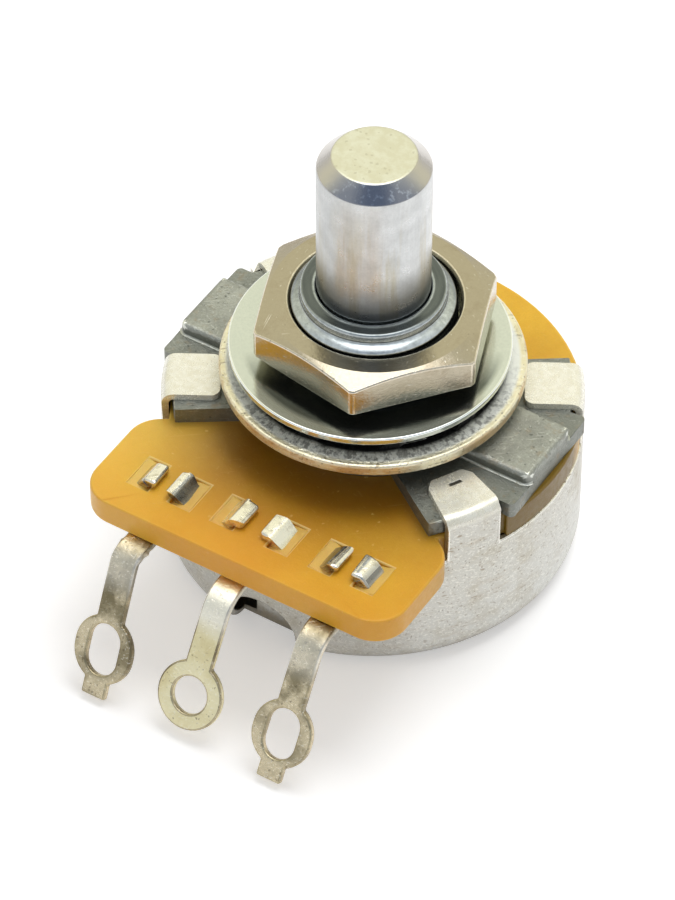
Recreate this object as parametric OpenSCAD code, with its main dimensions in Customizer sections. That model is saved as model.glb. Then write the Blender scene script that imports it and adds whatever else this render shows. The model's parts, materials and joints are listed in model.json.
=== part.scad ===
// Rotary potentiometer with a solid shaft, a threaded bushing and three solder lugs.
// A drawn steel can is folded over a cast front plate and clamps a phenolic board,
// which carries the printed track inside and the clinched terminals outside.
//
// Z is the shaft's axis and points out of the tip. z = 0 is the can's underside.
// The terminals point to -Y. Lengths are millimetres and angles are degrees.

/* [Control shaft] */
// Diameter of the shaft where a knob goes on
shaft_d = 6.35; // [6:0.05:6.6]
// Length of the shaft from the mounting face to its tip
shaft_length = 16.55; // [14:0.05:30]
// Width of the 45 degree chamfer at the tip
shaft_chamfer = 0.85; // [0.3:0.05:1.2]
// Amount by which the journal in the bushing is thinner than the shaft, on the diameter
journal_relief = 0.32; // [0.3:0.01:0.5]
// Diameter of the shaft's tail, on which the carrier sits
tail_d = 5.4; // [4.8:0.1:5.8]
// Distance between the two flats of the tail
tail_flats = 4; // [3.4:0.1:4.6]
// Depth of the groove for the retaining ring
groove_depth = 0.6; // [0.4:0.05:0.8]

/* [Bushing and front plate] */
// Outer diameter of the bushing's thread
bush_d = 9.4; // [9:0.05:9.6]
// Length of the bushing from the mounting face to its shoulder
bush_length = 6.35; // [6.2:0.05:12]
// Height of the thin collar that stands on the bushing's shoulder
collar_height = 0.6; // [0.3:0.05:1]
// Distance from the shaft's surface to the collar's outside
collar_wall = 0.9; // [0.7:0.05:1.1]
// Radial running clearance between the journal and the bushing
running_clearance = 0.04; // [0.02:0.01:0.08]
// Length of the plate along its raised bar
plate_length = 23; // [22.4:0.1:24]
// Thickness of the plate's low level
plate_t = 1; // [0.8:0.05:1.3]
// Height of the raised bar above the low level
bar_height = 0.75; // [0.5:0.05:1.1]
// Width of the raised bar
bar_w = 4.6; // [3.6:0.1:6]
// Width of each of the four arms that lie under the can's tabs
arm_w = 4.9; // [4.2:0.1:5.4]
// Diameter of the round centre of the plate
hub_d = 14.6; // [13:0.1:16]
// Wall of the spigot that centres the plate in the board
spigot_wall = 0.95; // [0.8:0.05:1]

/* [Phenolic board] */
// Thickness of the board
board_t = 1.65; // [1.4:0.05:2]
// Width of the board where it carries the terminals
board_w = 20.2; // [19.4:0.1:22]
// Distance from the can's wall to the board's front edge
board_overhang = 2.95; // [2.6:0.05:5]
// Radius of the board's front corners
board_corner_r = 2; // [1:0.1:3]
// Length of each terminal slot, from front to back
slot_length = 2.3; // [1.9:0.1:2.4]
// Width of each terminal slot
slot_w = 1.35; // [1.35:0.05:1.6]

/* [Can] */
// Outer diameter of the can
can_d = 23.8; // [23.4:0.1:25]
// Depth of the can from its rim to its underside
can_depth = 7.85; // [7.6:0.05:9]
// Thickness of the can's sheet
can_t = 0.4; // [0.3:0.02:0.5]
// Outer radius of the can's bottom edge
can_corner_r = 1.5; // [1:0.1:1.8]
// Width of each folded tab
tab_w = 3.3; // [2.8:0.1:3.8]
// Length of each tab's flat part, measured inward from the can's outside
tab_reach = 3.4; // [2.8:0.1:3.8]
// Angle of each tab from the raised bar
tab_angle = 30; // [28:0.5:33]
// Width of the arched notch at the foot of the can's front
notch_w = 4.3; // [3.8:0.1:4.8]
// Height of the notch's top above the can's underside
notch_height = 3.4; // [3:0.05:3.8]
// Width of the stop tongue that is bent up behind the notch
tongue_w = 2.8; // [2:0.1:3.2]

/* [Terminals] */
// Distance between neighbouring terminals
terminal_pitch = 5.95; // [5.6:0.05:6.2]
// Distance from the can's wall out to the middle of the row of slots
row_offset = -0.1; // [-0.3:0.05:0.4]
// Thickness of the terminal sheet
terminal_t = 0.45; // [0.35:0.05:0.5]
// Width of the strap between the board and the eyelet
strap_w = 1.65; // [1.5:0.05:2.3]
// Angle at which the strap runs down
strap_slope = 58; // [50:1:62]
// Height of the outer eyelets' centres above the can's underside
eyelet_z = 2.65; // [2.65:0.05:3.2]
// Height of the middle eyelet's centre above the can's underside
middle_eyelet_z = 2.35; // [2.2:0.05:3.2]
// Outer diameter of the middle eyelet
middle_eyelet_d = 4; // [3.6:0.05:4.6]
// Hole diameter of the middle eyelet
middle_hole_d = 2.15; // [2:0.05:2.6]
// Outer width of the two outer eyelets
outer_eyelet_w = 3.65; // [3.4:0.05:4.2]
// Width of the oval hole in the outer eyelets
outer_hole_w = 1.95; // [1.8:0.05:2.3]
// Length of the oval hole in the outer eyelets
outer_hole_length = 2.95; // [2.6:0.05:3.2]
// Distance from the eyelet's centre to the end of its foot
foot_reach = 2.75; // [2.4:0.05:2.8]
// Width of that foot
foot_w = 1.5; // [1.2:0.05:1.9]

/* [Track and wiper] */
// Width of the resistive track, as a share of the room between the spigot and the can
track_share = 0.37; // [0.3:0.01:0.42]
// Width of the collector ring, as a share of the same room
collector_share = 0.24; // [0.18:0.01:0.28]
// Thickness of the printed films
film_t = 0.05; // [0.03:0.01:0.1]
// Half of the angle that the track leaves open at the front
track_gap_angle = 24; // [20:1:28]
// Thickness of the collector ring
collector_t = 0.25; // [0.2:0.05:0.3]
// Thickness of the wiper's spring sheet
wiper_t = 0.2; // [0.15:0.05:0.3]
// Gap between a contact nose and what it slides on
contact_gap = 0.06; // [0.03:0.01:0.12]
// Thickness of the carrier's disc
carrier_t = 2.8; // [2.4:0.1:3]
// Whole angle that the shaft turns
turn_angle = 300; // [270:5:305]

/* [Mounting hardware] */
// Width of the nut across its flats
nut_flats = 12.4; // [12:0.05:14]
// Thickness of the nut
nut_t = 2.3; // [2:0.05:2.6]
// Depth of the nut's top below the bushing's shoulder
nut_drop = 0.35; // [0.2:0.05:0.8]
// Turn of the nut about the shaft
nut_turn = -9; // [-30:1:30]
// Outer diameter of the flat washer
flat_washer_d = 15.85; // [15:0.05:17]
// Thickness of the flat washer
flat_washer_t = 0.45; // [0.35:0.05:0.6]
// Outer diameter of the lock washer
lock_washer_d = 17.25; // [16.4:0.05:18]
// Thickness of the lock washer's sheet
lock_washer_t = 0.75; // [0.6:0.05:0.8]
// Height of the lock washer over its twisted teeth
lock_washer_height = 2.35; // [2:0.05:2.4]
// Number of teeth of the lock washer
tooth_count = 10; // [8:1:11]

/* [Hidden] */
$fn = 72;

// Overlap that joins the solids of one piece.
eps = 0.02;
far = 60;

// Heights, from the can's underside up.
floor_z = can_t;
rim_z = can_depth;
board_z = rim_z + board_t;
level_z = board_z + plate_t;
face_z = level_z + bar_height;
shoulder_z = face_z + bush_length;
collar_z = shoulder_z + collar_height;
shaft_tip_z = face_z + shaft_length;

// Radii of the shaft, the bushing and what goes round them.
shaft_r = shaft_d / 2;
journal_r = shaft_r - journal_relief / 2;
bore_r = journal_r + running_clearance;
bush_r = bush_d / 2;
bore_mouth_r = shaft_r + 0.265;
bore_chamfer = bore_mouth_r - bore_r;
collar_r = shaft_r + collar_wall;
bush_chamfer = 0.45;
spigot_r = bore_r + spigot_wall;
board_hole_r = spigot_r + 0.1;

// The can, its tabs and the notches that let them pass.
can_r = can_d / 2;
can_in_r = can_r - can_t;
terminal_row = can_r + row_offset;
board_reach = can_r + board_overhang;
tab_bend_r = 0.3;
tab_end_r = can_r - tab_reach;
tab_corner_r = 0.55;
tab_side_r = sqrt(pow(can_r, 2) - pow(tab_w / 2, 2));
tab_side_y = tab_side_r * sin(tab_angle) - tab_w / 2 * cos(tab_angle);
tab_clearance = 0.45;
board_r = can_r - 0.05;
notch_floor_r = can_in_r - 0.15;

// The plate's ends stay clear of the tabs and its arms stay inside them.
end_half_w = tab_side_y - tab_clearance;
arm_r = can_in_r - 0.25;

// The terminals' pads under the board, and the prongs that lean in and fold down over it.
prong_out = 1.95;
prong_w = 1.7;
prong_bend_r = 0.1;
prong_lean = 48;
prong_lean_r = 0.275;
prong_run = 0.936;
prong_fold = 44;
prong_fold_r = 0.125;
prong_flat = 0.22;
prong_foot_z = board_z + 0.1 - prong_fold_r - (prong_lean_r - prong_fold_r) * sin(prong_lean)
    - prong_run * cos(prong_lean);
slot_in = 0.72;
middle_spread = 0.4;
pad_length = 2.2;
rim_relief = 1.3;
rim_relief_half_w = terminal_pitch + prong_out + 0.6;

// The stop tongue stands up from the floor's cut edge behind the notch.
stop_r = can_r - can_corner_r - 0.65;
tongue_top_z = 3.2;

// The rotor hangs on the shaft between the spigot and the can's floor.
ring_t = 0.5;
ring_gap = 0.06;
spigot_end_z = rim_z - collector_t;
ring_top_z = spigot_end_z - 0.1;
groove_top_z = ring_top_z + ring_gap;
groove_foot_z = ring_top_z - ring_t - ring_gap;
groove_r = journal_r - groove_depth;
ring_out_r = journal_r + 1;
tail_top_z = groove_foot_z - 0.5;
carrier_clearance = 0.03;
hub_top_z = tail_top_z - 0.03;
hub_r = 4.15;
disc_top_z = hub_top_z - 0.5;
disc_foot_z = disc_top_z - carrier_t;
hub_foot_z = disc_foot_z - 0.4;
stake_t = 0.55;
stake_r = tail_d / 2 + 0.45;
disc_r = stop_r - 0.25;
lug_r = can_in_r - 0.4;
lug_foot_z = tongue_top_z - 1.4;
tongue_half_angle = asin(tongue_w / 2 / stop_r);
lug_half_angle = 180 - turn_angle / 2 - tongue_half_angle - 0.35;

// The collector ring and the track share the room between the spigot and the can.
film_room = can_in_r - spigot_r;
collector_in_r = spigot_r + 0.067 * film_room;
collector_out_r = collector_in_r + collector_share * film_room;
collector_r = (collector_in_r + collector_out_r) / 2;
collector_arm_w = 2;
track_out_r = can_in_r - 0.147 * film_room;
track_in_r = track_out_r - track_share * film_room;
track_r = (track_in_r + track_out_r) / 2;
silver_lead_w = 2;
silver_lead_in_r = track_out_r - 0.5;

// The wiper's two arms press on the track and on the collector ring.
stud_r = 0.6;
stud_ring_r = disc_r - 2.25;
wiper_bar_w = 2.4;
wiper_pad = 0.6;
wiper_strip_w = 1.2;
wiper_arm_w = 1.2;
wiper_short_arm_w = 0.9;
wiper_foot = 0.95;
wiper_nose_r = 0.45;
wiper_climb = 30;

// The nut and the washers round the bushing.
nut_r = nut_flats / 2 / cos(30);
thread_clearance = 0.05;
nut_top_z = shoulder_z - nut_drop;
washer_hole_r = bush_r + 0.25;
flat_washer_z = face_z + lock_washer_height;
lock_washer_z = face_z + (lock_washer_height - lock_washer_t) / 2 - 0.15;
tooth_root_r = bush_r + 2.3;
tooth_tip_r = bush_r + 0.25;
tooth_w = 2.9;
tooth_twist = 42;

// A ring sector in the plane, from angle a to angle b.
module ring_sector(inner, outer, a, b) {
    reach = 2 * outer;
    steps = ceil((b - a) / 60);
    intersection() {
        difference() {
            circle(outer);
            circle(inner);
        }
        polygon(concat([[0, 0]],
            [for (i = [0:steps]) let (t = a + (b - a) * i / steps) [reach * cos(t), reach * sin(t)]]));
    }
}

// A rectangle with all four corners rounded.
module rounded_rect(x0, y0, x1, y1, r) {
    translate([x0 + r, y0]) square([x1 - x0 - 2 * r, y1 - y0]);
    translate([x0, y0 + r]) square([x1 - x0, y1 - y0 - 2 * r]);
    for (x = [x0 + r, x1 - r], y = [y0 + r, y1 - r])
        translate([x, y]) circle(r);
}

// Places its child at each of the four tabs, with +X pointing outward.
module at_tabs() {
    for (a = [tab_angle, 180 - tab_angle, 180 + tab_angle, -tab_angle])
        rotate([0, 0, a]) children();
}

// Lays a drawing of x and z into the upright plane and gives it a width along Y.
module upright(width) {
    rotate([90, 0, 0]) linear_extrude(width, center = true) children();
}

// Half of the section of a cup with a rounded bottom edge.
module cup_section(r, foot, top, corner) {
    translate([0, foot]) square([r - corner, top - foot]);
    translate([0, foot + corner]) square([r, top - foot - corner]);
    translate([r - corner, foot + corner]) intersection() {
        circle(corner);
        translate([0, -corner]) square(corner);
    }
}

// Half of the can's section, with its wall carried up and folded in above the plate.
module can_section() {
    fold_z = level_z + can_t;
    bend = tab_bend_r + can_t;
    difference() {
        cup_section(can_r, 0, fold_z - bend, can_corner_r);
        cup_section(can_in_r, floor_z, fold_z, can_corner_r - can_t);
    }
    translate([can_r - bend, fold_z - bend]) ring_sector(tab_bend_r, bend, 0, 90);
    translate([tab_end_r - 1, level_z]) square([can_r - bend - tab_end_r + 1, can_t]);
}

// Outline of one tab, seen from above, open towards the outside.
module tab_outline() {
    r = tab_corner_r;
    translate([tab_end_r + r, -tab_w / 2]) square([tab_reach, tab_w]);
    translate([tab_end_r, r - tab_w / 2]) square([tab_reach, tab_w - 2 * r]);
    for (y = [r - tab_w / 2, tab_w / 2 - r])
        translate([tab_end_r + r, y]) circle(r);
}

// Outline of the arched notch, seen from the front.
module notch_outline() {
    r = notch_w / 2;
    translate([0, notch_height - r]) circle(r);
    translate([-r, -1]) square([notch_w, notch_height - r + 1]);
}

// Drawn cup with a relief in its rim, a notch with a stop tongue and four folded tabs.
module cover_can() {
    color([0.78, 0.77, 0.74]) {
        difference() {
            rotate_extrude() can_section();
            translate([0, 0, rim_z]) linear_extrude(far) difference() {
                circle(far);
                at_tabs() tab_outline();
            }
            translate([-rim_relief_half_w, -far, rim_z - rim_relief])
                cube([2 * rim_relief_half_w, far, rim_relief + eps]);
            translate([0, -stop_r - can_t, 0]) rotate([90, 0, 0]) linear_extrude(far) notch_outline();
        }
        translate([-tongue_w / 2, -stop_r - can_t, eps])
            cube([tongue_w, can_t, tongue_top_z - eps]);
    }
}

// Outline of the board: a disc with a square front, notched where the tabs pass.
module board_outline() {
    half = board_w / 2;
    difference() {
        union() {
            circle(board_r);
            rounded_rect(-half, -board_reach, half, -board_reach / 2, board_corner_r);
        }
        at_tabs() translate([notch_floor_r, -tab_w / 2 - tab_clearance])
            square([far, tab_w + 2 * tab_clearance]);
        circle(board_hole_r);
    }
}

// The six slots that the terminals' prongs come up through, the middle two further apart.
module prong_slots() {
    for (i = [-1:1], s = [-1, 1]) {
        spread = i == 0 ? middle_spread : 0;
        translate([i * terminal_pitch + s * (slot_in + spread + slot_w / 2), -terminal_row])
            square([slot_w, slot_length], center = true);
    }
}

// Punched sheet of amber laminated phenolic.
module phenolic_board() {
    color([0.86, 0.6, 0.16]) translate([0, 0, rim_z]) linear_extrude(board_t) difference() {
        board_outline();
        prong_slots();
    }
}

// Angle at which the carbon takes over: the silver reaches past its terminal's lead.
silver_angle = asin((terminal_pitch + silver_lead_w / 2 + 0.1) / silver_lead_in_r);
silver_half_angle = (silver_angle - track_gap_angle) / 2;

// Horseshoe of printed carbon on the board's underside, open towards the terminals.
module resistive_track() {
    color([0.13, 0.12, 0.12]) translate([0, 0, rim_z - film_t]) linear_extrude(film_t)
        rotate(-90) ring_sector(track_in_r, track_out_r, silver_angle, 360 - silver_angle);
}

// Printed silver patch that leads one end of the track out to its terminal.
module silver_end(side) {
    color([0.75, 0.75, 0.73]) translate([0, 0, rim_z - film_t]) linear_extrude(film_t)
        difference() {
            union() {
                rotate(-90 + side * (track_gap_angle + silver_half_angle))
                    ring_sector(track_in_r, track_out_r, -silver_half_angle, silver_half_angle);
                intersection() {
                    translate([side * terminal_pitch - silver_lead_w / 2, -terminal_row - 0.9])
                        square([silver_lead_w, 0.9 + terminal_row]);
                    difference() {
                        circle(far);
                        circle(silver_lead_in_r);
                    }
                }
            }
            prong_slots();
        }
}

module silver_end_left() silver_end(-1);
module silver_end_right() silver_end(1);

// Flat metal ring on the board's underside with an arm out to the middle terminal.
module collector_ring() {
    color([0.82, 0.72, 0.48]) translate([0, 0, spigot_end_z]) linear_extrude(collector_t)
        difference() {
            union() {
                circle(collector_out_r);
                translate([-collector_arm_w / 2, -terminal_row - 0.9])
                    square([collector_arm_w, terminal_row + 0.9]);
            }
            circle(collector_in_r);
        }
}

// Half of the section across a terminal's pad: pad, bend, leaning prong and folded end.
module prong_section(pad_z, spread) {
    t = terminal_t;
    out = prong_out + spread;
    flat = prong_flat + 0.6 * spread;
    translate([-eps, pad_z - t]) square([out - t - prong_bend_r + eps, t]);
    translate([out - t - prong_bend_r, pad_z + prong_bend_r])
        ring_sector(prong_bend_r, prong_bend_r + t, -90, 0);
    translate([out - t, pad_z + prong_bend_r])
        square([t, prong_foot_z - pad_z - prong_bend_r]);
    translate([out - t - prong_lean_r, prong_foot_z]) {
        ring_sector(prong_lean_r, prong_lean_r + t, 0, prong_lean);
        rotate(prong_lean) {
            translate([prong_lean_r, -eps]) square([t, prong_run + 2 * eps]);
            translate([prong_lean_r - prong_fold_r, prong_run]) {
                ring_sector(prong_fold_r, prong_fold_r + t, 0, prong_fold);
                rotate(prong_fold) translate([prong_fold_r, -eps]) square([t, flat + eps]);
            }
        }
    }
}

// Centre line of the strap: flat under the board, one bend, then straight down.
strap_bend_r = 1.8;
strap_turn = board_reach - 0.05;

// The strap's flat part and its bend, drawn in x and z with x pointing outward.
module strap_section(pad_z) {
    t = terminal_t;
    translate([terminal_row, pad_z - t]) square([strap_turn - terminal_row, t]);
    translate([strap_turn, pad_z - t / 2 - strap_bend_r])
        ring_sector(strap_bend_r - t / 2, strap_bend_r + t / 2, 90 - strap_slope, 90);
}

// Length of the strap from the end of its bend to the eyelet's centre at end_z.
function strap_run(pad_z, end_z) =
    (pad_z - terminal_t / 2 - strap_bend_r * (1 - cos(strap_slope)) - end_z) / sin(strap_slope);

// Round eyelet at the end of the middle strap.
module round_eyelet() {
    difference() {
        circle(middle_eyelet_d / 2);
        circle(middle_hole_d / 2);
    }
}

// An oval of the given width and length, along x.
module oval(w, l) {
    square([l - w, w], center = true);
    for (s = [-1, 1])
        translate([s * (l - w) / 2, 0]) circle(w / 2);
}

// Oval eyelet with a square foot, as on the two outer straps.
module footed_eyelet() {
    wall = 0.48;
    difference() {
        union() {
            oval(outer_eyelet_w, max(outer_hole_length + 2 * wall, outer_eyelet_w + 0.05));
            translate([0, -foot_w / 2]) square([foot_reach, foot_w]);
        }
        oval(outer_hole_w, outer_hole_length);
    }
}

// One terminal, with +X pointing outward and its pad's top at pad_z.
module terminal(pad_z, middle) {
    run = strap_run(pad_z, middle ? middle_eyelet_z : eyelet_z);
    spread = middle ? middle_spread : 0;
    pad_half = prong_out + spread - 1.1;
    bend_x = strap_turn + strap_bend_r * sin(strap_slope);
    bend_z = pad_z - terminal_t / 2 - strap_bend_r * (1 - cos(strap_slope));
    hole_half = middle ? middle_hole_d / 2 : outer_hole_length / 2;
    translate([terminal_row, 0, 0]) rotate([0, 0, 90]) {
        for (s = [0, 1])
            mirror([s, 0, 0]) upright(prong_w) prong_section(pad_z, spread);
        translate([-pad_half, -pad_length / 2, pad_z - terminal_t])
            cube([2 * pad_half, pad_length, terminal_t]);
    }
    upright(strap_w) strap_section(pad_z);
    translate([bend_x, 0, bend_z]) rotate([0, strap_slope, 0])
        translate([0, 0, -terminal_t / 2]) linear_extrude(terminal_t) {
            translate([-eps, -strap_w / 2]) square([run - hole_half - 0.2, strap_w]);
            translate([run, 0]) {
                if (middle) round_eyelet();
                else footed_eyelet();
            }
        }
}

module terminal_left() {
    color([0.72, 0.69, 0.6]) rotate([0, 0, -90]) translate([0, -terminal_pitch, 0])
        terminal(rim_z - film_t, false);
}

module terminal_centre() {
    color([0.74, 0.71, 0.6]) rotate([0, 0, -90])
        terminal(spigot_end_z, true);
}

module terminal_right() {
    color([0.72, 0.69, 0.6]) rotate([0, 0, -90]) translate([0, terminal_pitch, 0])
        terminal(rim_z - film_t, false);
}

// Outline of the plate's low level: two square ends, four arms and a round hub.
module plate_outline() {
    half = plate_length / 2;
    rounded_rect(-half, -end_half_w, half, end_half_w, 0.3);
    circle(hub_d / 2);
    intersection() {
        circle(arm_r);
        at_tabs() rounded_rect(0, -arm_w / 2, arm_r + 0.1, arm_w / 2, 0.5);
    }
}

// The raised bar, with its top edges rounded all round.
module raised_bar() {
    half = plate_length / 2;
    soft = 0.3;
    intersection() {
        rotate([0, 0, 90]) upright(plate_length + 1) rounded_rect(-bar_w / 2, board_z, bar_w / 2, face_z, soft);
        upright(bar_w + 1) rounded_rect(-half, board_z, half, face_z, soft);
        translate([0, 0, board_z]) linear_extrude(far)
            rounded_rect(-half, -bar_w / 2, half, bar_w / 2, 0.5);
    }
}

// Half of the section of the bushing, its collar and the spigot below the plate.
module bushing_section() {
    difference() {
        union() {
            translate([0, spigot_end_z]) square([spigot_r, board_z - spigot_end_z + eps]);
            translate([0, board_z]) square([bush_r, shoulder_z - bush_chamfer - board_z]);
            polygon([[0, shoulder_z - bush_chamfer - eps], [bush_r, shoulder_z - bush_chamfer - eps],
                [bush_r, shoulder_z - bush_chamfer], [bush_r - bush_chamfer, shoulder_z], [0, shoulder_z]]);
            translate([0, shoulder_z - eps]) square([collar_r, collar_height + eps]);
        }
        translate([0, -far]) square([bore_r, 3 * far]);
        polygon([[0, collar_z - bore_chamfer - bore_r],
            [bore_r + bore_chamfer + eps, collar_z + eps], [0, collar_z + eps]]);
    }
}

// Zinc casting: the plate with its raised bar, and the bushing in one piece with it.
module bushing_plate() {
    color([0.66, 0.66, 0.64]) difference() {
        union() {
            translate([0, 0, board_z]) linear_extrude(plate_t) plate_outline();
            raised_bar();
            translate([0, 0, level_z - eps]) cylinder(r = bush_r + 1.1, h = bar_height + eps);
            rotate_extrude() bushing_section();
        }
        cylinder(r = bore_r, h = far);
    }
}

// Outline of the tail, a round cut by two flats.
module double_d(d, flats) {
    intersection() {
        circle(d / 2);
        square([far, flats], center = true);
    }
}

// Turned shaft: chamfered tip, journal, groove, flatted tail and staked end.
module control_shaft() {
    tip = shaft_tip_z;
    knob_foot_z = collar_z + 0.1;
    color([0.83, 0.84, 0.86]) {
        rotate_extrude() polygon([
            [0, tail_top_z], [journal_r, tail_top_z], [journal_r, groove_foot_z],
            [groove_r, groove_foot_z], [groove_r, groove_top_z], [journal_r, groove_top_z],
            [journal_r, knob_foot_z - 0.05], [shaft_r, knob_foot_z],
            [shaft_r, tip - shaft_chamfer], [shaft_r - shaft_chamfer, tip], [0, tip]]);
        translate([0, 0, hub_foot_z - eps]) linear_extrude(tail_top_z - hub_foot_z + 2 * eps)
            double_d(tail_d, tail_flats);
        translate([0, 0, hub_foot_z - stake_t]) cylinder(r1 = stake_r - 0.3, r2 = stake_r, h = stake_t - 0.01);
    }
}

// Open spring ring in the shaft's groove, which stops the shaft from being pulled out.
module retaining_ring() {
    mouth = 2 * groove_r * 0.75;
    color([0.35, 0.34, 0.33]) translate([0, 0, ring_top_z - ring_t]) linear_extrude(ring_t)
        difference() {
            circle(ring_out_r);
            circle(groove_r + 0.02);
            translate([-mouth / 2, -far]) square([mouth, far]);
        }
}

// Moulded carrier: hub on the shaft's tail, disc, stop lug and two studs for the wiper.
module rotor_carrier() {
    color([0.2, 0.17, 0.14]) {
        difference() {
            union() {
                translate([0, 0, hub_foot_z]) cylinder(r = hub_r, h = hub_top_z - hub_foot_z);
                translate([0, 0, disc_foot_z]) cylinder(r = disc_r, h = carrier_t);
                translate([0, 0, lug_foot_z]) linear_extrude(disc_top_z - lug_foot_z)
                    rotate(90) ring_sector(hub_r, lug_r, -lug_half_angle, lug_half_angle);
                for (s = [-1, 1])
                    translate([s * stud_ring_r, 0, disc_top_z - eps])
                        cylinder(r = stud_r, h = wiper_t + 0.25 + eps);
            }
            translate([0, 0, hub_foot_z - 1]) linear_extrude(far)
                double_d(tail_d + 2 * carrier_clearance, tail_flats + 2 * carrier_clearance);
        }
    }
}

// Length of the straight run of a wiper arm whose nose touches at top_z, and where it starts.
wiper_mid_r = wiper_nose_r - wiper_t / 2;
function arm_run(top_z) = (top_z - wiper_nose_r + wiper_mid_r * cos(wiper_climb)
    - disc_top_z - wiper_t / 2) / sin(wiper_climb);
function arm_foot_x(top_z) =
    -wiper_mid_r * sin(wiper_climb) - arm_run(top_z) * cos(wiper_climb);

// One sprung arm of the wiper: it climbs to a rounded nose at x = 0 and touches at top_z.
module wiper_arm(top_z, width) {
    t = wiper_t;
    upright(width) {
        translate([0, top_z - wiper_nose_r]) {
            ring_sector(wiper_nose_r - t, wiper_nose_r, 20, 90 + wiper_climb);
            rotate(90 + wiper_climb) translate([wiper_nose_r - t, -eps])
                square([t, arm_run(top_z) + eps]);
        }
        translate([arm_foot_x(top_z) + 0.15 - wiper_foot, disc_top_z]) square([wiper_foot, t]);
    }
}

// Spring sheet staked to the carrier, with one arm to the track and one to the collector.
module wiper_spring() {
    nose_z = rim_z - film_t - contact_gap;
    strip_x = arm_foot_x(nose_z) - 0.9;
    color([0.8, 0.62, 0.36]) {
        translate([0, 0, disc_top_z]) linear_extrude(wiper_t) difference() {
            union() {
                circle(collector_out_r - 0.3);
                for (s = [-1, 1])
                    translate([s * stud_ring_r, 0]) circle(stud_r + wiper_pad);
                square([2 * stud_ring_r, wiper_bar_w], center = true);
                translate([strip_x, 0]) square([wiper_strip_w, track_r + wiper_arm_w / 2]);
            }
            circle(hub_r + 0.1);
            for (s = [-1, 1])
                translate([s * stud_ring_r, 0]) circle(stud_r + 0.03);
        }
        translate([0, track_r, 0]) wiper_arm(nose_z, wiper_arm_w);
        mirror([1, 0, 0]) translate([0, collector_r, 0])
            wiper_arm(spigot_end_z - contact_gap, wiper_short_arm_w);
    }
}

// One inner tooth of the lock washer, twisted about its own length and ground flat.
module twisted_tooth() {
    length = tooth_root_r + 0.35 - tooth_tip_r;
    intersection() {
        translate([tooth_tip_r, 0, face_z + lock_washer_height / 2]) rotate([tooth_twist, 0, 0])
            translate([0, -tooth_w / 2, -lock_washer_t / 2]) cube([length, tooth_w, lock_washer_t]);
        translate([0, -far / 2, face_z]) cube([far, far, lock_washer_height]);
    }
}

// Toothed lock washer: a flat ring whose inner teeth bear on the plate and on the washer.
module lock_washer() {
    color([0.75, 0.72, 0.62]) {
        translate([0, 0, lock_washer_z]) linear_extrude(lock_washer_t) difference() {
            circle(lock_washer_d / 2);
            circle(tooth_root_r);
        }
        for (i = [0:tooth_count - 1])
            rotate([0, 0, (i + 0.5) * 360 / tooth_count]) twisted_tooth();
    }
}

// Flat washer that lies on the lock washer's teeth.
module flat_washer() {
    color([0.74, 0.76, 0.77]) translate([0, 0, flat_washer_z]) linear_extrude(flat_washer_t)
        difference() {
            circle(flat_washer_d / 2);
            circle(washer_hole_r);
        }
}

// Hexagon nut with its corners rubbed down, chamfered on top and countersunk on both sides.
module hex_nut() {
    drop = 0.57;
    slope = 25;
    corner_r = nut_r - 0.08;
    sink = 0.15;
    bore = bush_r + thread_clearance;
    foot_z = nut_top_z - nut_t;
    chamfer_r = nut_r - drop / tan(slope);
    color([0.72, 0.66, 0.58]) translate([0, 0, foot_z]) difference() {
        intersection() {
            rotate([0, 0, nut_turn]) cylinder(r = nut_r, h = nut_t, $fn = 6);
            rotate_extrude() polygon([[0, 0], [corner_r, 0],
                [corner_r, nut_t - (corner_r - chamfer_r) * tan(slope)], [chamfer_r, nut_t], [0, nut_t]]);
        }
        translate([0, 0, -1]) cylinder(r = bore, h = nut_t + 2);
        translate([0, 0, nut_t - sink]) cylinder(r1 = bore, r2 = bore + sink, h = sink + 0.0001);
        translate([0, 0, -0.0001]) cylinder(r1 = bore + sink, r2 = bore, h = sink);
    }
}

cover_can();
phenolic_board();
resistive_track();
silver_end_left();
silver_end_right();
collector_ring();
terminal_left();
terminal_centre();
terminal_right();
bushing_plate();
control_shaft();
retaining_ring();
rotor_carrier();
wiper_spring();
lock_washer();
flat_washer();
hex_nut();
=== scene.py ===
"""A rotary potentiometer for panels, standing on a white table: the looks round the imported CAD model."""

import json
import math

import bmesh
import bpy
import numpy as np
from mathutils import Matrix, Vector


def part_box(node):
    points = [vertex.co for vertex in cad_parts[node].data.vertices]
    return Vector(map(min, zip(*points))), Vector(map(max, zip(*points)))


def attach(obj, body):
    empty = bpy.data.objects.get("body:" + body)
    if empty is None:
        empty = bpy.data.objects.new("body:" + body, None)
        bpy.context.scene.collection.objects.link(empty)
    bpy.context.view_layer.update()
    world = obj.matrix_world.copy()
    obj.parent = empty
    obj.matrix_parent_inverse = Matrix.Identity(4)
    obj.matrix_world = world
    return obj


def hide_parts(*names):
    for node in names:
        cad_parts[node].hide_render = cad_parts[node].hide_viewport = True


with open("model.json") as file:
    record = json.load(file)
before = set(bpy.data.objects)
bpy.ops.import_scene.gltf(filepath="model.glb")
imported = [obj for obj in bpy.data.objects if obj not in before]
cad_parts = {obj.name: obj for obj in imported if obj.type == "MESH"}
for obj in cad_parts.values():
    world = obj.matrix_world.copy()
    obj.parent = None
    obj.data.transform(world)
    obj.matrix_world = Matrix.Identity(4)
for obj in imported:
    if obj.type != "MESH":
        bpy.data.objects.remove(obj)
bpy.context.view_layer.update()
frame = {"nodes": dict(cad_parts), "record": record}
nodes = frame["nodes"]
scene = bpy.context.scene
mm = 0.001

# Cover can
# The closing cup, drawn from tinned steel sheet. Four tabs of its rim are folded over the plate, and a
# notch at its foot has the rotor's stop tongue behind it. Tin is soft, so it is full of fine scratches.


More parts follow.
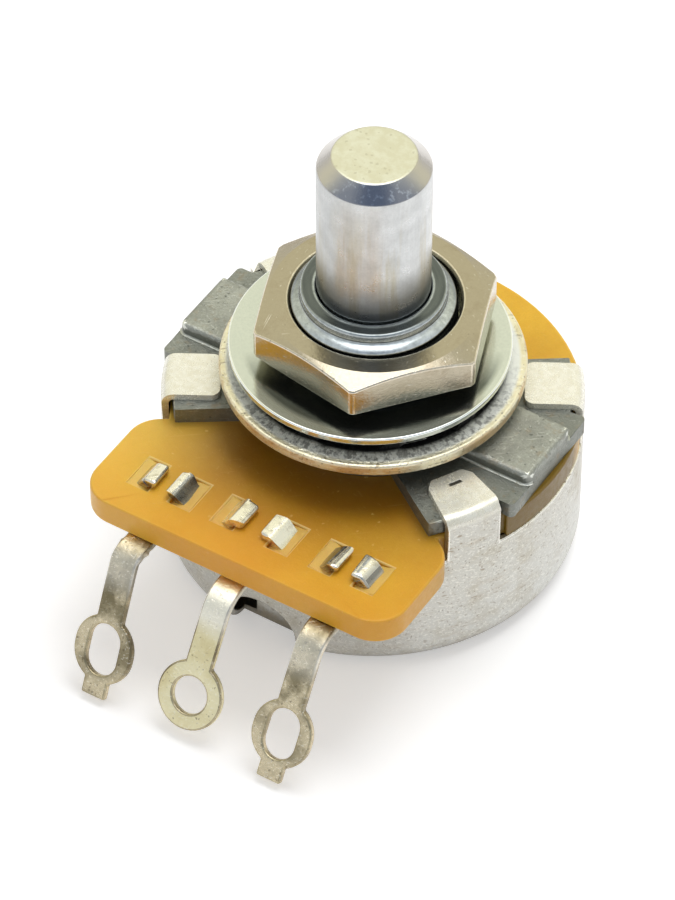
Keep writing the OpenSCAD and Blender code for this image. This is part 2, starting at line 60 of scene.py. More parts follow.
def rgb(red, green, blue):
    """A colour named on the 0-255 scale of a screen, as the linear colour that the shaders use."""
    c = np.array([red, green, blue]) / 255
    c = np.where(c <= 0.04045, c / 12.92, ((c + 0.055) / 1.055) ** 2.4)
    return (*map(float, c), 1.0)


def add(tree, kind, inputs=(), **settings):
    """Adds a shader node. inputs gives a socket, by name or number, a value or another node's output."""
    made = tree.nodes.new("ShaderNode" + kind)
    for key, value in settings.items():
        setattr(made, key, value)
    for key, value in dict(inputs).items():
        if isinstance(value, bpy.types.NodeSocket):
            tree.links.new(value, made.inputs[key])
        else:
            made.inputs[key].default_value = value
    return made


def sums(tree, operation, *values):
    """The output of a maths node that works on the given values."""
    return add(tree, "Math", enumerate(values), operation=operation).outputs[0]


def times(tree, a, b):
    """The product of two masks or numbers."""
    return sums(tree, "MULTIPLY", a, b)


def between(tree, share, a, b):
    """A colour that goes from a to b as share goes from 0 to 1."""
    return add(tree, "Mix", {0: share, 6: a, 7: b}, data_type="RGBA").outputs[2]


def level(tree, share, a, b):
    """A number that goes from a to b as share goes from 0 to 1."""
    return add(tree, "MapRange", {0: share, 3: a, 4: b}).outputs[0]


def ramp(tree, value, start, end):
    """A mask that is 0 where value is start and 1 where it is end."""
    return add(tree, "MapRange", {0: value, 1: start, 2: end}).outputs[0]


def band(tree, value, middle, inner, outer):
    """A mask that is 1 within inner of the middle value and 0 beyond outer."""
    return ramp(tree, sums(tree, "ABSOLUTE", sums(tree, "SUBTRACT", value, middle)), outer, inner)


def split(tree, place):
    """The three numbers of a place or a colour."""
    return add(tree, "SeparateXYZ", {0: place}).outputs


def stretch(tree, place, factors):
    """A place with each of its numbers multiplied by its own factor."""
    return add(tree, "VectorMath", {0: place, 1: factors}, operation="MULTIPLY").outputs[0]


def reach(tree, place, way):
    """How far a place lies in a direction."""
    return add(tree, "VectorMath", {0: place, 1: way}, operation="DOT_PRODUCT").outputs["Value"]


def blend(tree, colour, over, mask, share=1.0):
    """A colour with another laid over it where the mask is 1, as strongly as share says."""
    return between(tree, times(tree, mask, share), colour, over)


def effect(name, inputs, output):
    """Starts a shader group with named inputs. Returns its tree, its inputs' sockets and its output node."""
    tree = bpy.data.node_groups.new(name, "ShaderNodeTree")
    for key, value in inputs.items():
        kind = "NodeSocketVector" if value is None else "NodeSocketFloat"
        socket = tree.interface.new_socket(key, in_out="INPUT", socket_type=kind)
        if value is not None:
            socket.default_value = value
    kind = "NodeSocketVector" if output == "Vector" else "NodeSocketFloat"
    tree.interface.new_socket(output, in_out="OUTPUT", socket_type=kind)
    entry = tree.nodes.new("NodeGroupInput")
    return tree, entry.outputs, tree.nodes.new("NodeGroupOutput")


def use(tree, group, **inputs):
    """Places a shader group and returns its output. Underscores in the names stand for spaces."""
    made = tree.nodes.new("ShaderNodeGroup")
    made.node_tree = group
    for key, value in inputs.items():
        key = key.replace("_", " ")
        if isinstance(value, bpy.types.NodeSocket):
            tree.links.new(value, made.inputs[key])
        else:
            made.inputs[key].default_value = value
    return made.outputs[0]


def make_clouds():
    """Soft patches: noise with octaves, spread so that From is 0 and To is 1."""
    tree, given, out = effect("clouds", {"Vector": None, "Scale": 1.0, "From": 0.4, "To": 0.6}, "Mask")
    noise = add(tree, "TexNoise", {"Vector": given["Vector"], "Scale": given["Scale"], "Detail": 5.0,
                                   "Roughness": 0.6})
    tree.links.new(ramp(tree, noise.outputs[0], given["From"], given["To"]), out.inputs[0])
    return tree


def make_specks():
    """Small dots: a dot sits in each cell of a Voronoi pattern, bent by noise so that none is round. Its size
    is Size times the square of the cell's own chance, and its rim is soft."""
    tree, given, out = effect("specks", {"Vector": None, "Scale": 1.0, "Size": 0.2}, "Mask")
    soft_rim = 0.08
    bent = add(tree, "TexNoise", {"Vector": given["Vector"], "Scale": times(tree, given["Scale"], 2.0)})
    shifted = add(tree, "VectorMath", {0: bent.outputs[1], "Scale": sums(tree, "DIVIDE", 0.5, given["Scale"])},
                  operation="SCALE")
    place = add(tree, "VectorMath", {0: given["Vector"], 1: shifted.outputs[0]}, operation="ADD")
    cell = add(tree, "TexVoronoi", {"Vector": place.outputs[0], "Scale": given["Scale"]})
    chance = split(tree, cell.outputs["Color"])[0]
    size = times(tree, given["Size"], times(tree, chance, chance))
    inside = sums(tree, "DIVIDE", sums(tree, "SUBTRACT", size, cell.outputs["Distance"]), soft_rim)
    tree.links.new(add(tree, "Clamp", {0: inside}).outputs[0], out.inputs[0])
    return tree


def make_scratches():
    """Hair lines: noise stretched along three headings, of which only the peaks above Rare are kept."""
    tree, given, out = effect(
        "scratches", {"Vector": None, "Fineness": 6.0, "Length": 20.0, "Rare": 0.68}, "Mask")
    total = None
    for heading, tilt in ((0.35, 0.2), (1.5, -0.3), (2.45, 0.1)):
        turned = add(tree, "VectorRotate", {"Vector": given["Vector"], "Rotation": (tilt, tilt, heading)},
                     rotation_type="EULER_XYZ")
        along = sums(tree, "DIVIDE", given["Fineness"], given["Length"])
        scale = add(tree, "CombineXYZ", {0: along, 1: given["Fineness"], 2: given["Fineness"]})
        place = add(tree, "VectorMath", {0: turned.outputs[0], 1: scale.outputs[0]}, operation="MULTIPLY")
        noise = add(tree, "TexNoise", {"Vector": place.outputs[0], "Scale": 1.0, "Detail": 1.0})
        upper = sums(tree, "ADD", given["Rare"], 0.05)
        line = ramp(tree, noise.outputs[0], given["Rare"], upper)
        total = line if total is None else sums(tree, "MAXIMUM", total, line)
    tree.links.new(total, out.inputs[0])
    return tree


def make_unrolled():
    """Coordinates that follow a round wall: the way round at Radius, the distance from the axis, the height."""
    tree, given, out = effect("unrolled", {"Vector": None, "Radius": 1.0}, "Vector")
    x, y, z = split(tree, given["Vector"])
    angle = sums(tree, "ARCTAN2", x, y)
    away = sums(tree, "SQRT", sums(tree, "ADD", times(tree, x, x), times(tree, y, y)))
    place = add(tree, "CombineXYZ", {0: times(tree, angle, given["Radius"]), 1: away, 2: z})
    tree.links.new(place.outputs[0], out.inputs[0])
    return tree


clouds, specks, scratches, unrolled = make_clouds(), make_specks(), make_scratches(), make_unrolled()


def new_material(name):
    """A new material, its tree, its Principled shader and the object's coordinates in millimetres."""
    made = bpy.data.materials.new(name)
    made.use_nodes = True
    tree = made.node_tree
    shader = tree.nodes["Principled BSDF"]
    place = add(tree, "TexCoord")
    scaled = add(tree, "VectorMath", {0: place.outputs["Object"], "Scale": 1 / mm}, operation="SCALE")
    return made, tree, shader, scaled.outputs[0]


def finish_material(tree, shader, height, depth, **sockets):
    """Joins colours and numbers to the shader's sockets, and a height times depth in mm to its normal."""
    for key, value in sockets.items():
        key = key.replace("_", " ")
        if isinstance(value, bpy.types.NodeSocket):
            tree.links.new(value, shader.inputs[key])
        else:
            shader.inputs[key].default_value = value
    bump = add(tree, "Bump", {"Height": height, "Distance": depth * mm, "Strength": 1.0})
    tree.links.new(bump.outputs[0], shader.inputs["Normal"])


def worn_plate(tree, place, body, stain, rough, wear=0.66, stain_from=0.5, dirt=0.25):
    """Plated sheet: even metal with stained patches, hair scratches, dark specks and a faint ripple.

    The lower wear and stain_from are, the more scratches and stains there are, and dirt is the specks' size.
    Returns its colour, roughness and height, for a material to finish."""
    patches = use(tree, clouds, Vector=place, Scale=0.45, From=stain_from, To=stain_from + 0.22)
    fine = use(tree, clouds, Vector=place, Scale=5.0, From=0.3, To=0.7)
    lines = use(tree, scratches, Vector=place, Fineness=9.0, Length=26.0, Rare=wear)
    deep = use(tree, scratches, Vector=place, Fineness=5.0, Length=9.0, Rare=wear + 0.06)
    dots = use(tree, specks, Vector=place, Scale=4.5, Size=dirt)
    colour = blend(tree, body, stain, patches, 0.8)
    colour = blend(tree, colour, stain, fine, 0.2)
    colour = blend(tree, colour, rgb(252, 250, 240), lines, 0.35)
    colour = blend(tree, colour, rgb(120, 98, 66), deep, 0.5)
    colour = blend(tree, colour, rgb(96, 84, 66), dots, 0.5)
    roughness = level(tree, fine, rough - 0.05, rough + 0.07)
    roughness = sums(tree, "ADD", roughness, times(tree, patches, 0.08))
    height = sums(tree, "ADD", times(tree, fine, 0.5), times(tree, lines, -0.6))
    return colour, roughness, height


def sheet_metal(name, body, stain, rough, metallic=0.92, depth=0.006, **wear):
    """A plain piece of worn plated sheet."""
    made, tree, shader, place = new_material(name)
    colour, roughness, height = worn_plate(tree, place, body, stain, rough, **wear)
    finish_material(tree, shader, height, depth, Base_Color=colour, Metallic=metallic, Roughness=roughness)
    return made


def corners_of(node):
    """A CAD node's lowest and highest corners at rest, in mm."""
    return np.array(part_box(node)) / mm


can_r = corners_of("cover_can")[1, 0]
board_top = corners_of("phenolic_board")[1, 2]
arm_top = board_top + 1.0
tab_turn = math.radians(-30)
notch_top = 3.8
slit_turn, slit_away = math.radians(119.07), 9.28


def tinned_can(name, body, stain, rough, notch):
    """Soft tin round the can: scratched and browned on the wall, with a faint pale bluish painted sheen low on
    it, darker in its lowest millimetre and grimy just above. The tabs, which start at the height of the plate's
    arms, are nearly white and less metallic, partly pressed tin and partly a painted highlight. The front's
    foot, round the
    notch, is darker by the share notch: painted shade under the board. A short slit in the front right tab is
    pressed in by the bump and painted dark, as shade in it."""
    made, tree, shader, place = new_material(name)
    front = ramp(tree, split(tree, place)[1], -8.6, -9.4)
    place = use(tree, unrolled, Vector=place, Radius=can_r)
    way_round, away, height_up = split(tree, place)
    colour, roughness, height = worn_plate(tree, place, body, stain, rough, wear=0.63, dirt=0.3)
    long = stretch(tree, place, (0.25, 1.0, 1.0))
    brown = use(tree, clouds, Vector=long, Scale=1.8, From=0.56, To=0.7)
    colour = blend(tree, colour, rgb(160, 142, 112), brown, 0.3)
    # Painted sheen: the wall is pale and bluish towards its foot.
    colour = blend(tree, colour, rgb(226, 232, 238), ramp(tree, height_up, 6.5, 2.0), 0.15)
    colour = blend(tree, colour, rgb(98, 94, 86), ramp(tree, height_up, 1.0, 0.3), 0.85)
    grime = times(tree, ramp(tree, height_up, 1.5, 0.4), use(tree, clouds, Vector=place, Scale=1.2))
    colour = blend(tree, colour, rgb(146, 136, 116), grime, 0.7)
    # Painted shade under the board on the front of the foot, round the notch, as strong as the share notch.
    shaded_front_foot = times(tree, front, ramp(tree, height_up, notch_top + 1, notch_top))
    colour = blend(tree, colour, rgb(112, 106, 94), shaded_front_foot, notch)
    # The tabs are painted nearly white and less metallic: partly pressed tin, partly a painted highlight.
    tab = ramp(tree, height_up, arm_top - 0.3, arm_top + 0.1)
    cream = use(tree, clouds, Vector=place, Scale=2.2, From=0.42, To=0.6)
    colour = blend(tree, colour, rgb(255, 253, 240), tab, 0.88)
    colour = blend(tree, colour, rgb(214, 204, 168), times(tree, tab, cream), 0.25)
    roughness = sums(tree, "SUBTRACT", roughness, times(tree, tab, 0.1))
    # The slit is pressed in by the bump, and its dark colour is painted shade in it.
    across = band(tree, away, slit_away, 0.08, 0.13)
    along = band(tree, way_round, slit_turn * can_r, 0.42, 0.55)
    slit = times(tree, times(tree, across, along), tab)
    colour = blend(tree, colour, rgb(40, 36, 30), slit, 0.95)
    height = times(tree, height, level(tree, tab, 1.0, 0.4))
    height = sums(tree, "SUBTRACT", height, times(tree, slit, 8.0))
    finish_material(tree, shader, height, 0.006, Base_Color=colour, Metallic=level(tree, tab, 0.9, 0.45),
                    Roughness=roughness)
    return made


def link(name, mesh, body):
    """Makes an object of a mesh, puts it in the scene and lets it ride on a body."""
    made = bpy.data.objects.new(name, mesh)
    scene.collection.objects.link(made)
    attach(made, body)
    return made


def roundable(work, width, angle, share):
    """The part of the width by which each edge is rounded, as an array.

    An edge is rounded where its faces meet at more than angle, unless one of its ends has a sharp edge
    shorter than half its rounding, or two sharp edges that leave it less than 55 degrees apart. Pairs of
    edges at one point are found by sorting them by point and setting the list against itself, shifted."""
    least_apart = math.cos(math.radians(55))
    most_at_a_point = 6
    sharp = np.array([e.calc_face_angle(0) for e in work.edges]) > math.radians(angle)
    ends = np.array([[v.index for v in e.verts] for e in work.edges])
    points = np.array([v.co for v in work.verts]) / mm
    part = share((points[ends[:, 0]] + points[ends[:, 1]]) / 2) if share else np.ones(len(ends))
    way = points[ends[:, 1]] - points[ends[:, 0]]
    length = np.linalg.norm(way, axis=1)
    way /= np.maximum(length, 1e-9)[:, None]
    bad = np.zeros(len(points), bool)
    bad[ends[sharp & (length < 0.5 * width * part)]] = True
    at = np.concatenate([ends[sharp, 0], ends[sharp, 1]])
    way = np.concatenate([way[sharp], -way[sharp]])
    order = np.argsort(at, kind="stable")
    at, way = at[order], way[order]
    for step in range(1, most_at_a_point):
        acute = (way[step:] * way[:-step]).sum(1) > least_apart
        bad[at[step:][acute & (at[step:] == at[:-step])]] = True
    return (sharp & ~bad[ends].any(1)) * part


def numbers(items, name, width=1, kind=float):
    """One property of all of a mesh's items as an array."""
    values = np.empty(len(items) * width, kind)
    items.foreach_get(name, values)
    return values.reshape(-1, width) if width > 1 else values


def shade_flats_flat(mesh, limit):
    """Sets the normals: each face corner takes the mean of the faces round its point that lie within limit
    degrees of its own, weighted by their areas, so that a narrow rounding takes the whole turn. The corners
    at one point are paired as roundable pairs its edges."""
    most_apart = math.cos(math.radians(limit))
    most_at_a_point = 60
    point = numbers(mesh.loops, "vertex_index", kind=np.int32)
    face = np.repeat(np.arange(len(mesh.polygons)), numbers(mesh.polygons, "loop_total", kind=np.int32))
    order = np.argsort(point, kind="stable")
    point = point[order]
    way = numbers(mesh.polygons, "normal", 3)[face][order]
    heavy = way * numbers(mesh.polygons, "area")[face][order][:, None]
    mean = heavy.copy()
    for step in range(1, most_at_a_point):
        near = (point[step:] == point[:-step]) & ((way[step:] * way[:-step]).sum(1) > most_apart)
        mean[step:][near] += heavy[:-step][near]
        mean[:-step][near] += heavy[step:][near]
    mean /= np.maximum(np.linalg.norm(mean, axis=1), 1e-20)[:, None]
    corners = np.empty_like(mean)
    corners[order] = mean
    mesh.shade_smooth()
    mesh.normals_split_custom_set(corners)


def dressed(node, name, materials, width, angle=20, weld=0.01, limit=35, share=None, move=None):
    """Shows a CAD node as a copy whose points are welded within weld, whose facets are merged and whose edges
    are rounded by width, all in mm, where their faces meet at more than angle.

    The first material covers it and the second, if any, the rounded edges, but not what lies level. share
    gives the part of the width for each edge from its middle, and move changes the points, both in mm."""
    one_facet = math.radians(0.6)
    mesh = nodes[node].data.copy()
    mesh.materials.clear()
    work = bmesh.new()
    work.from_mesh(mesh)
    bmesh.ops.remove_doubles(work, verts=work.verts, dist=weld * mm)
    bmesh.ops.dissolve_limit(work, angle_limit=one_facet, verts=work.verts, edges=work.edges)
    work.to_mesh(mesh)
    if move:
        places = move(numbers(mesh.vertices, "co", 3) / mm) * mm
        mesh.vertices.foreach_set("co", places.ravel())
        work.clear()
        work.from_mesh(mesh)
    work.verts.index_update()
    weights = roundable(work, width, angle, share)
    work.to_mesh(mesh)
    for old in ("custom_normal", "sharp_edge", "sharp_face"):
        if old in mesh.attributes:
            mesh.attributes.remove(mesh.attributes[old])
    weight = mesh.attributes.new("bevel_weight_edge", "FLOAT", "EDGE")
    weight.data.foreach_set("value", weights.astype(np.float32))
    draft = bpy.data.objects.new(name, mesh)
    scene.collection.objects.link(draft)
    bevel = draft.modifiers.new("rounded edges", "BEVEL")
    bevel.width, bevel.segments, bevel.limit_method = width * mm, 3, "WEIGHT"
    bevel.use_clamp_overlap = False
    for finish in materials:
        mesh.materials.append(finish)
    if len(materials) > 1:
        bevel.material = 1
    rounded = draft.evaluated_get(bpy.context.evaluated_depsgraph_get())
    whole = bpy.data.meshes.new_from_object(rounded)
    bpy.data.objects.remove(draft)
    work.clear()
    work.from_mesh(whole)
    bmesh.ops.triangulate(work, faces=[f for f in work.faces if len(f.verts) > 4])
    work.to_mesh(whole)
    work.free()
    which = numbers(whole.polygons, "material_index", kind=np.int32)
    lies_level = np.abs(numbers(whole.polygons, "normal", 3)[:, 2]) > 0.9995
    which[lies_level] = 0
    whole.polygons.foreach_set("material_index", which)
    shade_flats_flat(whole, limit)
    bodies = frame["record"]["behaviour"]["bodies"]
    made = link(name, whole, next(key for key in bodies if node in bodies[key]))
    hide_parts(node)


# The last number is the share of painted shade on the front's foot, more on the rounded edges.
can_tin = tinned_can("scratched tin plate", rgb(199, 198, 191), rgb(176, 168, 148), 0.34, 0.15)
can_edge = tinned_can("rubbed tin edge", rgb(240, 238, 230), rgb(214, 206, 184), 0.24, 0.75)


def soft_tabs(middles):
    """The folded tabs have softer edges than the can's cut rim, and their bends are 0.34 mm round."""
    height = middles[:, 2] - arm_top
    bend = (height > 0.25) & (np.hypot(middles[:, 0], middles[:, 1]) > can_r - 0.4)
    return np.where(bend, 1.9, np.where(height > -0.2, 1.0, 0.55))


def pinched_tab(points):
    """The front right tab's free end is pinched: from 9.6 mm from the axis inwards it narrows evenly, by a
    quarter over 0.9 mm."""
    cos, sin = math.cos(tab_turn), math.sin(tab_turn)
    along = points[:, 0] * cos + points[:, 1] * sin
    across = points[:, 1] * cos - points[:, 0] * sin
    free = (points[:, 2] > arm_top - 0.1) & (np.abs(across) < 2.2) & (along < 9.6)
    across = np.where(free, across * (1 - 0.26 * np.clip((9.6 - along) / 0.9, 0, 1)), across)
    points[:, 0] = along * cos - across * sin
    points[:, 1] = along * sin + across * cos
    return points


dressed("cover_can", "drawn_can", [can_tin, can_edge], 0.18, weld=0.04, share=soft_tabs, move=pinched_tab)

# Printed track and collector
# On the board's underside: carbon printed as a horseshoe, silver at its ends, and a flat brass ring.
# The wiper runs on both. They stay as the CAD has them and get their finishes.


def printed_film(name, body, fleck, rough, metallic=0.0):
    """A screen-printed film: even, with the weave of the screen and a few flecks."""
    made, tree, shader, place = new_material(name)
    grains = use(tree, clouds, Vector=place, Scale=9.0, From=0.35, To=0.7)
    dots = use(tree, specks, Vector=place, Scale=6.0, Size=0.3)
    colour = between(tree, times(tree, grains, 0.5), body, fleck)
    colour = between(tree, times(tree, dots, 0.5), colour, fleck)
    roughness = level(tree, grains, rough, rough + 0.12)
    finish_material(tree, shader, grains, 0.004, Base_Color=colour, Roughness=roughness, Metallic=metallic)
    return made


def turned_metal(name, body, shade, rough, pitch=3.0, marks=0.4):
    """Metal cut on a lathe: rings of fine marks round the axis, drawn by noise of radius and height."""
    made, tree, shader, place = new_material(name)
    around = use(tree, unrolled, Vector=place, Radius=0.25)
    cuts = stretch(tree, around, (0.6, pitch, pitch))
    rings = add(tree, "TexNoise", {"Vector": cuts, "Scale": 4.0, "Detail": 4.0, "Roughness": 0.7}).outputs[0]
    fine = use(tree, clouds, Vector=place, Scale=6.0, From=0.3, To=0.7)
    colour = between(tree, times(tree, fine, 0.35), body, shade)
    roughness = level(tree, rings, rough - marks * 0.2, rough + marks * 0.2)
    roughness = sums(tree, "ADD", roughness, times(tree, fine, 0.04))
    finish_material(tree, shader, rings, 0.004 * marks, Base_Color=colour, Roughness=roughness, Metallic=1.0)
    return made


def paint(node, material):
    """Gives a CAD node's own mesh its finish."""
    nodes[node].material_slots[0].material = material


paint("resistive_track", printed_film("printed carbon", rgb(38, 36, 37), rgb(58, 56, 56), 0.6))
silver = printed_film("printed silver", rgb(196, 196, 192), rgb(160, 158, 152), 0.45, 0.8)
paint("silver_end_left", silver)
paint("silver_end_right", silver)
paint("collector_ring", turned_metal("collector brass", rgb(222, 200, 140), rgb(196, 168, 110), 0.3))

# Terminals
# Three lugs stamped from tinned brass sheet. Each has a pad under the board with two prongs that come up
# through the slots and are folded down over the board. The tin is tarnished, most on the outer two.


lug_pitch = 5.95
slot_row = -11.8
strap_top, strap_foot = 6.9, 3.6


def tinned_lug(name, body, tarnish, rough, spread, dirt, side_shade):
    """Tinned brass lug: bright where it is clinched, with a painted highlight on the bend at the strap's top,
    tarnished along the strap, fine dark specks.

    spread is how far the tarnish covers the strap, and one minus spread how strong the painted highlight on the
    bend is; dirt is the specks' size, and the last number how dark the painted shade is on the prongs' sides
    below their crests."""
    made, tree, shader, place = new_material(name)
    height_up = split(tree, place)[2]
    colour, roughness, height = worn_plate(
        tree, place, body, tarnish, rough, wear=0.67, stain_from=0.42, dirt=dirt)
    strap = times(tree, ramp(tree, height_up, strap_top, strap_top - 1),
                  ramp(tree, height_up, strap_foot, strap_foot + 1))
    dull = times(tree, strap, use(tree, clouds, Vector=place, Scale=0.9, From=0.36, To=0.56))
    colour = blend(tree, colour, tarnish, dull, spread)
    # Painted highlight on the bend at the strap's top, as strong as one minus spread.
    bend = times(tree, ramp(tree, height_up, strap_top - 1.5, strap_top - 0.5),
                 ramp(tree, height_up, 7.7, 7.4))
    colour = blend(tree, colour, rgb(255, 253, 246), bend, 1.0 - spread)
    bright = ramp(tree, height_up, board_top - 0.2, board_top + 0.1)
    colour = blend(tree, colour, rgb(255, 252, 240), bright, 0.85)
    resin_film = use(tree, clouds, Vector=place, Scale=2.0, From=0.5, To=0.66)
    colour = blend(tree, colour, rgb(160, 140, 96), times(tree, bright, resin_film), 0.35)
    # Painted shade on the prongs' sides below their crests, as strong as the last argument.
    shaded_below_crest = ramp(tree, height_up, board_top + 0.48, board_top + 0.34)
    colour = blend(tree, colour, rgb(84, 84, 82), times(tree, bright, shaded_below_crest), side_shade)
    roughness = sums(tree, "SUBTRACT", roughness, times(tree, bright, 0.19))
    height = times(tree, height, level(tree, bright, 1.0, 0.4))
    finish_material(tree, shader, height, 0.012, Base_Color=colour, Metallic=0.92, Roughness=roughness)
    return made


# The last number of each lug finish is how strong the painted shade on its prongs' sides is.
lug_tin = tinned_lug("tarnished tin", rgb(232, 217, 184), rgb(122, 112, 84), 0.26, 0.7, 0.42, 0.75)
lug_warm = tinned_lug("yellowed tin", rgb(246, 238, 200), rgb(222, 208, 158), 0.34, 0.3, 0.3, 0.0)
lug_edge = tinned_lug("sheared edge", rgb(196, 184, 152), rgb(110, 98, 74), 0.3, 0.5, 0.3, 0.3)


def crumpled(points):
    """Bends the clinched ends a little out of true, so that no two prongs are alike. The outermost two are
    hammered 0.34 mm wider, from 6.3 mm beside the middle outwards. What is above the board moves by up to
    0.1 mm, by sines of three slow mixtures of its own coordinates."""
    wider, most = 0.34, [0.07, 0.1, 0.05]
    for inner, way in ((-6.3, -1), (6.3, 1)):
        out = (points[:, 0] - inner) * way
        out = np.where((out > -0.1) & (out < 1.6), np.clip(out, 0, 1), 0)
        points[:, 0] += wider * way * out * np.clip((points[:, 2] - (board_top - 0.1)) / 0.25, 0, 1)
    waves = points @ np.array([[3.1, 1.7, 2.3], [0.9, 1.4, 1.3], [0.7, 1.1, 0.9]])
    free = np.clip((points[:, 2:] - board_top) / 0.3, 0, 1)
    return points + np.sin(waves + [0.4, 1.9, 4.0]) * free * most


def leaning(points):
    """The left lug's strap also stands about 4 degrees out of square: in front of the board's edge it shifts
    by 0.078 mm for each mm of height, and by 0.2 mm at its eyelet's centre."""
    slope, eyelet_shift, eyelet_height = 0.078, 0.2, 2.65
    out = np.clip((-15.2 - points[:, 1]) / 0.7, 0, 1)
    points[:, 0] += (eyelet_shift - slope * (points[:, 2] - eyelet_height)) * out
    return crumpled(points)


def soft_prongs(middles):
    """The clinching hammer has rounded the prongs more than the lugs' sheared edges."""
    return np.where(middles[:, 2] > board_top + 0.05, 1.35, 0.8)


lugs = (("left", lug_tin, leaning), ("centre", lug_warm, crumpled), ("right", lug_tin, crumpled))
for side, finish, bend in lugs:
    dressed("terminal_" + side, side + "_lug", [finish, lug_edge], 0.14, share=soft_prongs, move=bend)

# Board
# Punched from a sheet of paper laminated with amber phenolic resin. The punch leaves its edges rounded
# and the slots' rims chipped pale. The resin is a little clear, so the colour goes deep.


slot_half_w = 0.675
slot_in, middle_slot_in = 0.72, 1.12
row_half_length = 8.6


def make_board_resin(name, body, deep, shade, chipped):
    """Amber laminate: cloudy, with fibres, pale dust, brown specks and a waxy surface. It is darker in front of
    the hub by the share shade, which is painted shade of the washers, pale in the row of slots by the share
    chipped, yellower and lighter to the left with painted light, browner to the right with painted shade, and
    redder in the middle of the front. Its round wall at the right is painted dark olive, as shade under the
    plate."""
    made, tree, shader, place = new_material(name)
    away = split(tree, use(tree, unrolled, Vector=place))[1]
    x, y = split(tree, place)[:2]
    soft = use(tree, clouds, Vector=place, Scale=0.35, From=0.35, To=0.65)
    fibre = use(tree, clouds, Vector=place, Scale=3.0, From=0.4, To=0.62)
    grain = use(tree, clouds, Vector=place, Scale=14.0, From=0.35, To=0.65)
    pale = use(tree, specks, Vector=place, Scale=1.6, Size=0.18)
    brown = use(tree, specks, Vector=place, Scale=0.9, Size=0.12)
    lines = use(tree, scratches, Vector=place, Fineness=7.0, Length=22.0, Rare=0.7)
    colour = blend(tree, body, deep, soft, 0.5)
    colour = blend(tree, colour, deep, fibre, 0.16)
    # Painted shade of the washers: darker in front of the hub, as strong as shade.
    inner = times(tree, ramp(tree, away, 14.5, 8.6), shade)
    front = ramp(tree, y, 0.0, -6.0)
    colour = blend(tree, colour, rgb(120, 62, 6), times(tree, inner, front))
    colour = blend(tree, colour, rgb(150, 96, 30), grain, 0.16)
    colour = blend(tree, colour, rgb(250, 222, 140), pale, 0.35)
    colour = blend(tree, colour, rgb(160, 106, 34), brown, 0.4)
    colour = blend(tree, colour, rgb(248, 220, 140), lines, 0.1)
    row = times(tree, band(tree, y, slot_row, 1.4, 1.6),
                band(tree, x, 0.0, row_half_length, row_half_length + 0.3))
    colour = blend(tree, colour, rgb(255, 236, 170), row, chipped)
    # Painted light to the left and painted shade to the right.
    colour = blend(tree, colour, rgb(255, 218, 104), ramp(tree, x, -4.0, -10.0), 0.45)
    colour = blend(tree, colour, rgb(190, 130, 40), ramp(tree, x, 5.0, 10.0), 0.3)
    warm = times(tree, band(tree, x, 0.0, 0.5, 5.5), ramp(tree, y, -10.0, -13.0))
    colour = blend(tree, colour, rgb(238, 140, 24), warm, 0.3)
    colour = blend(tree, colour, rgb(246, 166, 36), ramp(tree, y, -8.0, -14.0), 0.4)
    # Painted shade under the plate: the round wall at the right is dark olive.
    wall = times(tree, ramp(tree, away, 11.0, 11.2), ramp(tree, x, 8.0, 9.6))
    colour = blend(tree, colour, rgb(96, 78, 12), times(tree, wall, band(tree, y, -2.0, 4.4, 6.0)), 0.85)
    height = sums(tree, "ADD", times(tree, fibre, 0.4), soft)
    height = sums(tree, "ADD", height, times(tree, grain, 0.2))
    finish_material(tree, shader, height, 0.012, Base_Color=colour, Roughness=level(tree, fibre, 0.3, 0.42))
    shader.inputs["Subsurface Weight"].default_value = 0.25
    shader.inputs["Subsurface Radius"].default_value = (1.0, 0.45, 0.1)
    shader.inputs["Subsurface Scale"].default_value = 0.0008
    return made


# The fourth number is the share of painted washer shade, the fifth that of chipped pale rims.
resin = make_board_resin("amber phenolic", rgb(246, 196, 56), rgb(222, 164, 34), 0.75, 0.0)
resin_edge = make_board_resin("punched phenolic edge", rgb(250, 204, 80), rgb(234, 180, 56), 0.4, 0.6)
resin_chip = make_board_resin("crushed phenolic", rgb(252, 218, 118), rgb(236, 186, 74), 0.3, 0.2)


def board_rims(middles):
    """The slots' upper rims are chipped 0.1 mm wide, the board's other edges are rounded a little more."""
    x, y, z = middles.T
    rim = (z > board_top - 0.05) & (y < -10.5) & (y > -15.2) & (np.abs(x) < row_half_length)
    return np.where(rim, 0.5, 0.7)


dressed("phenolic_board", "board", [resin, resin_edge], 0.2, weld=0.02, share=board_rims)


def ring_mesh(name, rings):
    """A mesh of rings of points in mm, an array of rings by points by 3. Each point is joined by quads to its
    neighbours, and the last of a ring to the first."""
    number = np.arange(rings.shape[0] * rings.shape[1]).reshape(rings.shape[:2])
    number = np.hstack([number, number[:, :1]])
    quads = np.stack([number[:-1, :-1], number[1:, :-1], number[1:, 1:], number[:-1, 1:]], axis=-1)
    mesh = bpy.data.meshes.new(name)
    mesh.from_pydata((rings.reshape(-1, 3) * mm).tolist(), [], quads.reshape(-1, 4).tolist())
    mesh.shade_smooth()
    return mesh


